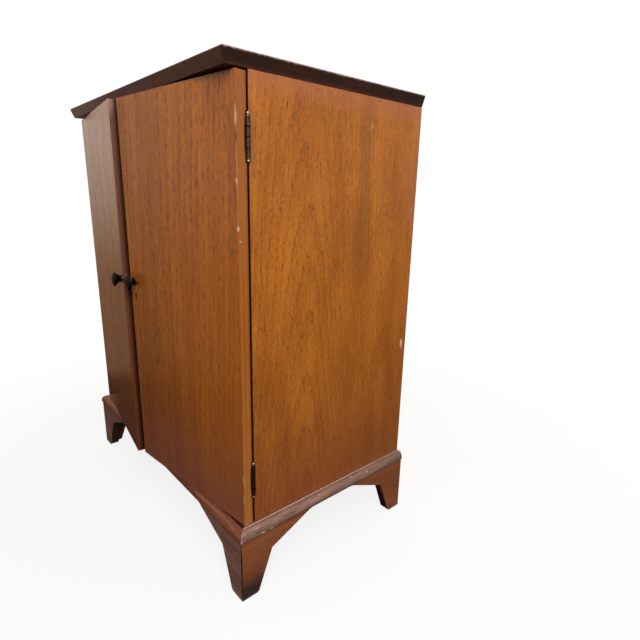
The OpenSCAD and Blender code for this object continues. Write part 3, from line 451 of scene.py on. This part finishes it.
# %% [markdown]
# ## The lid
# The lid is solid wood, stained nearly black and lacquered dull, so its grain is only just there. Hands
# and bottles have rubbed its edges paler. Its grain runs along X, so the board is turned a quarter, and
# marks given in the cabinet's millimetres are turned with it.

# %% The lid
QUARTER = math.pi / 2
LYING_X, LYING_Y = (0, QUARTER, 0), (QUARTER, 0, 0)


def along_x(centre, radii):
    """A place in the cabinet as the place in a board whose grain runs along X."""
    return (-centre[2], centre[1], centre[0]), (radii[2], radii[1], radii[0])


def along_y(centre, radii):
    return (centre[0], centre[2], -centre[1]), (radii[0], radii[2], radii[1])


def scars(order, marks):
    return [(*order(centre, radii), *rest) for centre, radii, *rest in marks]


dark_lid = wood(
    "dark stained lid", "#5E3428", "#45241A", "#2E140E", "#180A08", turn=LYING_X, rough=0.46, specular=0.25,
    marks=scars(along_x, [
        # the end grain, darkest at the rear, with two rubbed patches
        ((320, 0, 778), (8, FAR, FAR), "#1E0E0A", 0.85, 0.3, 0.0),
        ((320, 190, 775), (20, 200, 60), "#1A0A0C", 0.6, 1.0, 0.2),
        ((317, -60, 778), (4, 50, 6), "#4A231A", 0.5, 1.0, 0.8),
        ((317, 60, 779), (4, 70, 4), "#4A231A", 0.45, 1.0, 0.8),
        # the rubbed upper edge, and a painted reflection that makes the front left corner paler
        ((318, 20, 787), (3, 420, 3.2), "#A58E80", 0.85, 0.8, 1.2),
        ((-300, -170, 778), (260, 20, 20), "#7A5848", 0.6, 1.0, 0.6),
    ]))
dress(dark_lid, "lid")

# %% [markdown]
# ## The base moulding
# The moulding is solid wood, stained by hand, with its grain along its length. Shoes and brooms have worn
# it, and the mitred corner is bruised to bright wood. The profile's upper edge is painted pale, a painted
# highlight, and its foot is darker. It is duller than the veneer, and its streaks are short and close.

# %% The base moulding
corner = ((327, -169, 114), (2.2, 2.2, 12), "#D8A888", 0.7, 0.8, 0.6)
moulding = dict(rough=0.5, ring=6, ring_strength=0.12, pores=(1.2, 14), pore_strength=0.6, tone=(5, 60))
moulding_x = wood(
    "worn moulding, front", "#98583A", "#74402A", "#58301F", "#402015", **moulding, turn=LYING_X,
    marks=scars(along_x, [
        # painted shadow on the ledge under the right door's lower edge
        ((300, -156.5, 123), (50, 3.5, 3), "#140907", 0.9, 0.6, 0.2),
        ((0, -168, 112), (FAR, 4, 5), "#5A2E20", 0.5, 1.0, 0.6),
        corner,
    ]))
moulding_y = wood(
    "worn moulding, side", "#9A786C", "#725448", "#543C32", "#402B26", **moulding, turn=LYING_Y, seed=2.2,
    marks=scars(along_y, [
        # the upper edge painted pale as a highlight, a darker lower band, the duller rear
        ((313.8, 0, 123), (1.5, FAR, 1.5), "#D9B5A8", 0.75, 0.7, 0.5),
        ((327, 0, 107), (4, FAR, 7), "#543830", 0.65, 1.0, 0.6),
        ((320, 200, 115), (20, 160, 30), "#6A4E48", 0.5, 1.0, 0.3),
        # knocks, some down to bare wood
        ((324.8, 7.1, 117.7), (5, 9, 6), "#A8683C", 0.65, 0.9, 0.6),
        ((324.2, 108.9, 118.9), (3, 5, 1.5), "#D2A890", 0.8, 0.7, 0.6),
        ((320.8, 68.5, 122.4), (3, 4, 1.5), "#C8A08C", 0.6, 0.8, 0.6),
        ((322.6, -10, 121), (3, 6, 2), "#B88468", 0.6, 0.8, 0.8),
        ((323.2, -140.3, 120.3), (3, 6, 2.4), "#C08868", 0.7, 0.8, 0.8),
        ((326.5, -129.5, 109.7), (3, 6, 2), "#E0B89C", 0.9, 0.7, 0.9),
        ((326.5, -113, 108.6), (3, 4, 2), "#E0B89C", 0.9, 0.7, 0.9),
        corner,
    ]))
dress(moulding_x, "base_rail_front", "base_rail_back")
dress(moulding_y, "base_rail_left", "base_rail_right")

# %% [markdown]
# ## The feet
# Each foot is two brackets of stained walnut that meet in a mitre. They are redder than the moulding,
# and their toes have soaked up dirt and water. The front right foot has a grey scuff, and the faces that
# look away from the light in the photograph are nearly black, so their shade is painted on here.

# %% The feet
scuff = ((328, -165, -4), (16, 190, 54), "#382A2B", 0.92, 0.55, 0.6)
toe = ((0, 0, 0), (FAR, FAR, 6), "#33231F", 0.8, 0.7, 0.5)
mitre = ((324.5, -168.9, 54), (1.8, 1.8, 70), "#0E0807", 0.97, 0.5, 0.2)
# painted shade on the foot faces that look away from the light
front_face_shade = ((-280, -157.4, 30), (40, 11, 60), "#24120C", 0.85, 0.2, 0.0)
rear_face_shade = ((312, 172, 30), (11.5, 25, 60), "#180C09", 0.9, 0.2, 0.0)
bracket = dict(dark="#4A2716", pore="#3A2012", rough=0.42, ring=10, ring_strength=0.12, pores=(1.4, 16),
               pore_strength=0.4)
foot_x = wood("stained walnut foot, front", "#A07468", "#805A50", **bracket, turn=LYING_X,
              marks=scars(along_x, [toe, mitre, front_face_shade]))
foot_y = wood("stained walnut foot, side", "#9E5E38", "#80482A", **bracket, turn=LYING_Y, seed=4.4,
              marks=scars(along_y, [toe, scuff, mitre, rear_face_shade]))
dress(foot_x, "foot_front_left_face", "foot_front_right_face", "foot_rear_left_back", "foot_rear_right_back")
dress(foot_y, "foot_front_left_side", "foot_front_right_side", "foot_rear_left_side", "foot_rear_right_side")

# %% [markdown]
# ## Inside
# What is hidden got cheaper wood. The bar well has plain stained boards, brown and open-pored. The back,
# the bottom and the shelf are birch ply under clear lacquer, pale yellow with wide, faint rings, as
# peeled veneer has.

# %% Inside
well = wood("stained walnut, bar well", "#7E4F35", "#633B27", "#4A2716", "#3A2012", turn=LYING_X, ring=12)
dress(well, "bar_front_board", "bar_back_board", "foot_glue_blocks")
ply = wood("lacquered birch ply", "#C9A57A", "#B98F62", "#A07A50", "#8A6440", turn=LYING_X, ring=20)
dress(ply, "case_bottom", "back_panel", "bar_floor_board", "shelf")

# %% [markdown]
# ## Metals, laminate and lacquer
# Old steel isn't one grey. Its sheen is broken by patches of tarnish, so one function mixes two tones
# by a fine noise, and the same noise roughens the surface and makes it uneven. With other tones and no
# metal in it, it also does for smooth black surfaces, which are never evenly black.

# %% Metals, laminate and lacquer
def mottled(name, colour, second, metallic, low, high, size, specular=0.5, marks=()):
    """Patches of the given size in millimetres, with a roughness between low and high."""
    material, tree = new_material(name)
    place = add(tree, "TexCoord", {}, "Object")
    patches = add(tree, "TexNoise", {"Vector": place, "Scale": 1 / (size * MM), "Detail": 4.0})
    mask = add(tree, "MapRange", {"Value": patches, "From Min": 0.35, "From Max": 0.7})
    paint = add(tree, "Mix", {FACTOR: mask, FIRST: linear(colour), SECOND: linear(second)}, MIXED, data_type="RGBA")
    rough = add(tree, "MapRange", {"Value": patches, "To Min": low, "To Max": high})
    uneven = add(tree, "Bump", {"Height": patches, "Strength": 0.2, "Distance": 0.05 * MM})
    shader = tree.nodes["Principled BSDF"]
    tree.links.new(marked(tree, place, paint, marks), shader.inputs["Base Color"])
    tree.links.new(rough, shader.inputs["Roughness"])
    tree.links.new(uneven, shader.inputs["Normal"])
    shader.inputs["Specular IOR Level"].default_value = specular
    shader.inputs["Metallic"].default_value = metallic
    return material


# darkened steel: brown-grey and dull, with dark joints between the hinges' knuckles, 12.75 mm apart
joints = [((0, 0, hinge + knuckle), (FAR, FAR, 1.4), "#0E0B0A", 0.95, 0.5, 0.0)
          for hinge in HINGES for knuckle in (-12.75, 0, 12.75)]
dress(mottled("darkened steel", "#52463E", "#362E2A", 1, 0.35, 0.65, 3, marks=joints),
      "hinge_case_leaves_left", "hinge_case_leaves_right", "hinge_door_leaves_left", "hinge_door_leaves_right",
      "lid_hinge_case_leaves", "lid_hinge_leaves", "knob_collar_left", "knob_collar_right")

# nickel plate: warm and bright, the ball tips of the hinges catch the light
dress(mottled("nickel plate", "#A8A49C", "#8A857C", 1, 0.25, 0.5, 4),
      "hinge_pins_left", "hinge_pins_right", "lid_hinge_pins", "lock_bolt", "rod")

# zinc plate: cooler and lighter than nickel, slightly cloudy
dress(mottled("zinc plated steel", "#B4B4B2", "#94948F", 1, 0.25, 0.5, 5),
      "case_hinge_screws", "hinge_door_screws_left", "hinge_door_screws_right", "lid_hinge_screws", "stay_bracket",
      "stay_rivet", "stay_arm", "stay_slide_pin", "rod_keeper", "rod_plate",
      "knob_screw_left", "knob_screw_right", "shelf_supports")

# aged steel: the lock's case and plate, brown with old oil and hardly shiny
dress(mottled("aged steel", "#40352D", "#2E2620", 1, 0.4, 0.65, 4), "lock_case", "lock_strike_plate")

# pressed laminate: black and smooth, with a soft broad sheen
dress(mottled("black laminate", "#141312", "#1E1C1A", 0, 0.3, 0.45, 6), "bar_laminate")

# turned wood in black lacquer: deep black, with small clear highlights on its curves
black_lacquer = mottled("black lacquered wood", "#040303", "#0B0807", 0, 0.16, 0.34, 8, 0.22)
dress(black_lacquer, "knob_left", "knob_right")

# %% [markdown]
# ## Turned knobs
# The knobs are turned like small trumpets: a neck that flares to a thin rim, with a low dome in front.
# On a lathe, one profile makes the whole form. A profile spun round an axis would do the same, but its
# ends need closing. Here a disc as wide as the neck is pulled out along the profile, step by step, and
# made wider or narrower at each step, so both ends are closed from the start. Each point of the profile
# is a radius and a height over the door's face, in millimetres.

# %% The profile of a knob
NECK_R, WIDER = 5.8, 7.3  # radius of the neck, and what the flare adds to it
COLLAR, FLARE = 2, 10.2  # the neck stands on the collar, and the flare is this long
STEPS, CURVE = 14, 1.7  # points of the flare, and how late it opens: 1 is a plain cone
flare = [(NECK_R + WIDER * (i / STEPS) ** CURVE, COLLAR + FLARE * i / STEPS) for i in range(STEPS + 1)]

DOME_R, DOME_H, RIM_TOP = 13.1, 4.2, 13.2
rim = [(13.4, 12.5), (13.5, 12.7), (13.5, 13.0), (13.3, RIM_TOP)]
angles = [math.radians(a) for a in (12, 25, 40, 55, 70, 82)]
dome = [(DOME_R * math.cos(a), RIM_TOP + DOME_H * math.sin(a)) for a in angles]
profile = flare + rim + dome
print("a knob stands out", round(profile[-1][1], 1), "mm and is", 2 * max(r for r, z in profile), "mm across")


# %% Turned knobs
def turned_knob(name, node, body, door, x):
    (radius, height), *points = profile
    bpy.ops.object.select_all(action="DESELECT")
    bpy.ops.mesh.primitive_circle_add(vertices=48, radius=radius * MM, fill_type="NGON", location=(0, 0, height * MM))
    knob = bpy.context.object
    knob.name = knob.data.name = name
    bpy.ops.object.transform_apply(location=True)
    bpy.ops.object.mode_set(mode="EDIT")
    bpy.ops.mesh.select_all(action="SELECT")
    for r, z in points:
        bpy.ops.mesh.extrude_region_move(TRANSFORM_OT_translate={"value": (0, 0, (z - height) * MM)})
        bpy.ops.transform.resize(value=(r / radius, r / radius, 1), center_override=(0, 0, 0))
        radius, height = r, z
    bpy.ops.mesh.select_all(action="SELECT")
    bpy.ops.mesh.normals_make_consistent(inside=False)
    bpy.ops.object.mode_set(mode="OBJECT")
    bpy.ops.object.shade_smooth()

    # turned to point out of the door, moved to its place on it, and swung with it
    outwards = Matrix.Rotation(QUARTER, 4, "X")
    on_door = Matrix.Translation((x * MM, DOOR_FACE * MM, KNOB_Z * MM))
    swung = Matrix.Translation(door["at"]) @ Matrix.Rotation(door["turn"][2], 4, "Z")
    knob.matrix_world = swung @ on_door @ outwards
    bpy.ops.object.transform_apply(location=True, rotation=True, scale=True)
    knob.data.materials.append(black_lacquer)
    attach(knob, body)
    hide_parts(node)
    print(name, "has", len(knob.data.vertices), "points")


turned_knob("turned_knob_right", "knob_right", "door_right", RIGHT_DOOR, -KNOB_X)
turned_knob("turned_knob_left", "knob_left", "door_left", LEFT_DOOR, KNOB_X)
